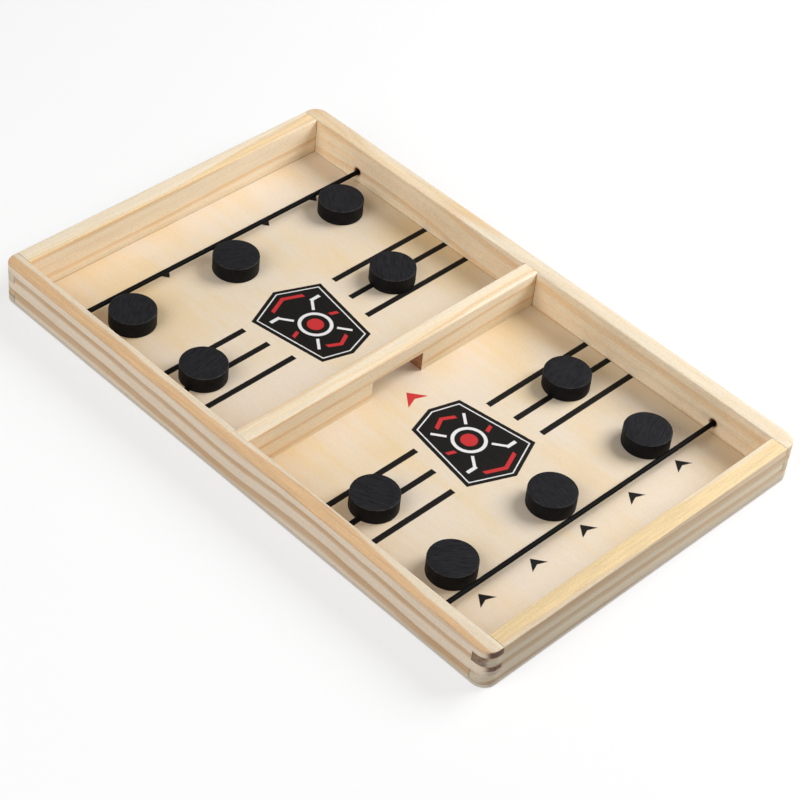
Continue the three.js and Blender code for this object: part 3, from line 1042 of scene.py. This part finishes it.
class BOARD_OT_divider(bpy.types.Operator):
    """Makes the divider with its gate"""

    bl_idname = "board.divider"
    bl_label = "Divider"

    def execute(self, context):
        size = sizes()
        divider = add_block("divider_looks", DIVIDER_LOW, DIVIDER_HIGH)
        half = size.gate_width / 2
        head = FLOOR + size.gate_height
        with Bench(divider) as bench:
            for x in (-half, half):
                bench.slice((x, 0, 0), (1, 0, 0))
            bench.slice((0, 0, head), (0, 0, 1))
            bench.pick_faces(lambda c, n: abs(c.x) < half and c.z < head and abs(n.y) > 0.9)
            bpy.ops.mesh.bridge_edge_loops()
            bench.pick_faces(lambda c, n: abs(c.x) < half and near(c.z, FLOOR))
            bpy.ops.mesh.delete(type="FACE")
            bench.pick_edges(lambda a, b, normals: (
                near(a.z, TOP) and near(b.z, TOP) and min(n.z for n in normals) < 0.5
                and near(a.y, b.y)
            ))
            bench.round_edges(size.edge_rounding, EDGE_SEGMENTS)
        soften(divider, size.seam_softening)
        finish_stick(divider, "pine_divider", "divider")
        return {"FINISHED"}


class BOARD_OT_cords(bpy.types.Operator):
    """Makes the two elastic cords, each in two halves that meet in the middle of the court"""

    bl_idname = "board.cords"
    bl_label = "Elastic Cords"

    RINGS_PER_PITCH = 6
    SIDES = 36

    def execute(self, context):
        material = braid()
        for court, end in (("near", -1), ("far", 1)):
            for side, hand in (("left", -1), ("right", 1)):
                half = self.model_half(f"cord_{court}_{side}_half", hand, end * CORD_Y)
                finish_piece(half, material, "elastic_cord", None, f"cord_{court}")
                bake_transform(half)
        return {"FINISHED"}

    def model_half(self, name, hand, y):
        """Rolls a grid into a braided tube, from the middle of the court to the knot in the rail."""
        size = sizes()
        pocket_x = (COURT_HALF_WIDTH + HALF_WIDTH) / 2
        knot = size.knot_size / 2
        knot_x = pocket_x - (size.knot_pocket / 2 - knot - size.knot_room)
        reach = knot_x + knot
        rings = round(reach / BRAID_PITCH * self.RINGS_PER_PITCH)
        take(None)
        bpy.ops.mesh.primitive_grid_add(x_subdivisions=rings, y_subdivisions=self.SIDES, size=1)
        tube = settle(bpy.context.object, name)
        share, round_share = (points_of(tube)[:, :2] + 0.5).T
        x = share * reach
        angle = round_share * 2 * math.pi * hand
        radius = self.radius_at(x, hand * x, angle, knot_x, knot, size.cord_thickness / 2)
        shaped = np.stack([hand * x, y + radius * np.cos(angle), CORD_Z + radius * np.sin(angle)], 1)
        tube.data.vertices.foreach_set("co", shaped.ravel())
        store(tube, LAY_MARK, np.stack([hand * x / MM, np.cos(angle), np.sin(angle)], 1))
        with Bench(tube):
            pick_all()
            bpy.ops.mesh.remove_doubles(threshold=0.001 * MM)
            bpy.ops.mesh.fill_holes(sides=0)
            pick_all()
            bpy.ops.mesh.normals_make_consistent(inside=False)
        bpy.ops.object.shade_smooth()
        return tube

    @staticmethod
    def radius_at(way, x, angle, knot_x, knot, radius):
        """The braid's radius: two families of strands that pass over and under each other."""
        lay = 2 * math.pi / BRAID_PITCH
        one = np.cos((STRANDS * angle + lay * x) / 2)
        other = np.cos((STRANDS * angle - lay * x) / 2)
        weave = one * other
        strands = np.maximum(one**2 * (0.75 + 0.25 * weave), other**2 * (0.75 - 0.25 * weave))
        past = np.clip((way - knot_x) / knot, -1, 1)
        bulge = knot * np.sqrt(1 - past**2)
        body = np.where(way < knot_x, radius, 0.0)
        full = np.maximum(body, np.where(way > knot_x - knot, bulge, 0.0))
        return np.maximum(full - BRAID_DEPTH * (1 - strands), 0.0) * (full > 0)


class BOARD_OT_pucks(bpy.types.Operator):
    """Makes the ten pucks: one is modelled, and each of the rest is a copy cut from other wood"""

    bl_idname = "board.pucks"
    bl_label = "Pucks"

    SIDES = 96

    def execute(self, context):
        material = stained_wood()
        model = self.model_puck()
        for count, node in enumerate(PUCKS):
            low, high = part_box(node)
            middle = (low + high) / 2
            puck = turned_copy(model, node + "_looks", 0.0, (middle.x, middle.y, 0))
            self.mark_grain(puck, middle, count)
            finish_piece(puck, material, "black_puck", node, node)
        bpy.data.objects.remove(model)
        return {"FINISHED"}

    def model_puck(self):
        size = sizes()
        radius = (PUCK_HIGH.x - PUCK_LOW.x) / 2
        puck = add_rod("puck", radius, (0, 0, PUCK_LOW.z), (0, 0, PUCK_HIGH.z), self.SIDES)
        with Bench(puck) as bench:
            bench.pick_edges(
                lambda a, b, normals: near(a.z, b.z) and max(abs(n.z) for n in normals) > 0.9
            )
            bench.round_edges(size.puck_rim, EDGE_SEGMENTS)
            bench.pick_faces(lambda c, n: abs(n.z) > 0.99)
            bpy.ops.mesh.inset(thickness=radius / 4)
        take(puck)
        bpy.ops.object.shade_smooth_by_angle(angle=CREASE)
        return puck

    @staticmethod
    def mark_grain(puck, middle, count):
        """Writes where each point lies in the puck, and where it lay in the stick it was cut from."""
        turn = GRAIN_TURNS[count % len(GRAIN_TURNS)]
        local = (points_of(puck) - np.array(middle)) / MM
        cos, sin = math.cos(turn), math.sin(turn)
        stick = np.stack([
            local[:, 0] * cos + local[:, 1] * sin + 90 * count,
            local[:, 1] * cos - local[:, 0] * sin + 40 * count,
            local[:, 2] + 17 * count,
        ], 1)
        store(puck, GRAIN_MARK, stick)
        store(puck, PUCK_MARK, local)


# How far the grain of each puck is turned from the board's X axis
GRAIN_TURNS = [math.radians(degrees) for degrees in (35, -20, 65, 10, 50, -40, 80, 25, -65, 5)]

# The photograph's view: the point that the camera looks at, its turn round the board, its height
# over the table, its roll and its distance
CAMERA_TARGET = Vector((-4.76, -12.79, 0.16)) * MM
CAMERA_TURN = math.radians(-48.98)
CAMERA_RISE = math.radians(42.505)
CAMERA_ROLL = math.radians(6.93)
CAMERA_DISTANCE = 1209.6 * MM
CAMERA_LENS = 107.65
CAMERA_SENSOR = 36.0


def back_from(turn, rise):
    """The way back from the board to a camera or a lamp, for a turn round it and a height over it."""
    return Vector((
        math.sin(turn) * math.cos(rise), -math.cos(turn) * math.cos(rise), math.sin(rise),
    ))


class BOARD_OT_stage(bpy.types.Operator):
    """Makes the plain floor, the lamps, the sky and the camera"""

    bl_idname = "board.stage"
    bl_label = "Stage"

    FLOOR_SIZE = 8.0
    FLOOR_DROP = 0.3 * MM
    GLOW = 0.62

    # Each lamp: its level's name, its size, its turn round the board, its height over the board in
    # degrees and its distance
    LAMPS = (("key", 0.9, 67, 39, 1.3), ("fill", 1.2, -92, 40, 1.5))

    def execute(self, context):
        self.add_floor()
        self.add_sky(context)
        for name, *lamp in self.LAMPS:
            self.add_lamp(name + "_lamp", getattr(context.scene.board_light, name), *lamp)
        self.add_camera(context)
        context.scene.view_settings.view_transform = "Standard"
        return {"FINISHED"}

    def add_floor(self):
        take(None)
        bpy.ops.mesh.primitive_plane_add(size=self.FLOOR_SIZE, location=(0, 0, -self.FLOOR_DROP))
        ground = settle(bpy.context.object, "stage_floor")
        paper = Finish("stage_paper")
        tints = colours()
        looks = paper.seen_by("Camera", "Glossy", "Transmission")
        dull = paper.node("BsdfDiffuse", None, {"Color": tuple(tints.bounce)})
        white = paper.node("BsdfDiffuse", None, {"Color": tuple(tints.backdrop)})
        glow = paper.node("Emission", None, {"Color": tuple(tints.backdrop), "Strength": 1.0})
        seen = paper.node("MixShader", None, {0: self.GLOW, 1: white, 2: glow})
        shader = paper.node("MixShader", None, {0: looks, 1: dull, 2: seen})
        paper.node("OutputMaterial", None, {"Surface": shader})
        ground.data.materials.append(paper.owner)

    @staticmethod
    def add_sky(context):
        sky = Finish("sky", bpy.data.worlds)
        looks = sky.seen_by("Camera", "Transmission")
        strength = context.scene.board_light.sky
        plain = sky.node("Background", None, {"Color": (1, 1, 1), "Strength": strength})
        white = sky.node("Background", None, {"Color": (1, 1, 1), "Strength": 1.0})
        shader = sky.node("MixShader", None, {0: looks, 1: plain, 2: white})
        sky.node("OutputWorld", None, {"Surface": shader})
        context.scene.world = sky.owner

    @staticmethod
    def add_lamp(name, power, size, turn, rise, distance):
        back = back_from(math.radians(turn), math.radians(rise))
        lamp = bpy.data.lights.new(name, "AREA")
        lamp.energy = power
        lamp.shape = "DISK"
        lamp.size = size
        holder = bpy.data.objects.new(name, lamp)
        holder.location = back * distance
        holder.rotation_euler = back.to_track_quat("Z", "Y").to_euler()
        bpy.context.scene.collection.objects.link(holder)

    @staticmethod
    def add_camera(context):
        back = back_from(CAMERA_TURN, CAMERA_RISE)
        camera = bpy.data.cameras.new("camera")
        camera.lens = CAMERA_LENS
        camera.sensor_width = CAMERA_SENSOR
        camera.clip_start = CAMERA_DISTANCE / 100
        camera.clip_end = CAMERA_DISTANCE * 100
        holder = bpy.data.objects.new("camera", camera)
        holder.location = CAMERA_TARGET + back * CAMERA_DISTANCE
        holder.rotation_mode = "QUATERNION"
        holder.rotation_quaternion = back.to_track_quat("Z", "Y") @ Quaternion((0, 0, 1), CAMERA_ROLL)
        context.scene.collection.objects.link(holder)
        context.scene.camera = holder


class BOARD_PT_workshop(bpy.types.Panel):
    """Lists the sizes, the colours and the makers of the board"""

    bl_idname = "BOARD_PT_workshop"
    bl_label = "Hockey Board"
    bl_space_type = "VIEW_3D"
    bl_region_type = "UI"
    bl_category = "Hockey Board"

    def draw(self, context):
        scene = context.scene
        for label, group in (
            ("Sizes", scene.board_sizes), ("Colours", scene.board_colours), ("Light", scene.board_light),
        ):
            box = self.layout.box()
            box.label(text=label)
            for name in group.__annotations__:
                box.prop(group, name)
        for maker in MAKERS:
            self.layout.operator(maker.bl_idname)


MAKERS = (
    BOARD_OT_stage, BOARD_OT_sheet, BOARD_OT_side_rails, BOARD_OT_end_rails, BOARD_OT_divider,
    BOARD_OT_cords, BOARD_OT_pucks,
)
GROUPS = {"board_sizes": BoardSizes, "board_colours": BoardColours, "board_light": BoardLight}


def register():
    for kind in (*GROUPS.values(), *MAKERS, BOARD_PT_workshop):
        bpy.utils.register_class(kind)
    for name, group in GROUPS.items():
        setattr(bpy.types.Scene, name, bpy.props.PointerProperty(type=group))


def unregister():
    for name in GROUPS:
        delattr(bpy.types.Scene, name)
    for kind in reversed((*GROUPS.values(), *MAKERS, BOARD_PT_workshop)):
        bpy.utils.unregister_class(kind)


def main():
    register()
    bpy.ops.board.stage()
    bpy.ops.board.sheet()
    bpy.ops.board.side_rails()
    bpy.ops.board.end_rails()
    bpy.ops.board.divider()
    bpy.ops.board.cords()
    bpy.ops.board.pucks()


if __name__ == "__main__":
    main()
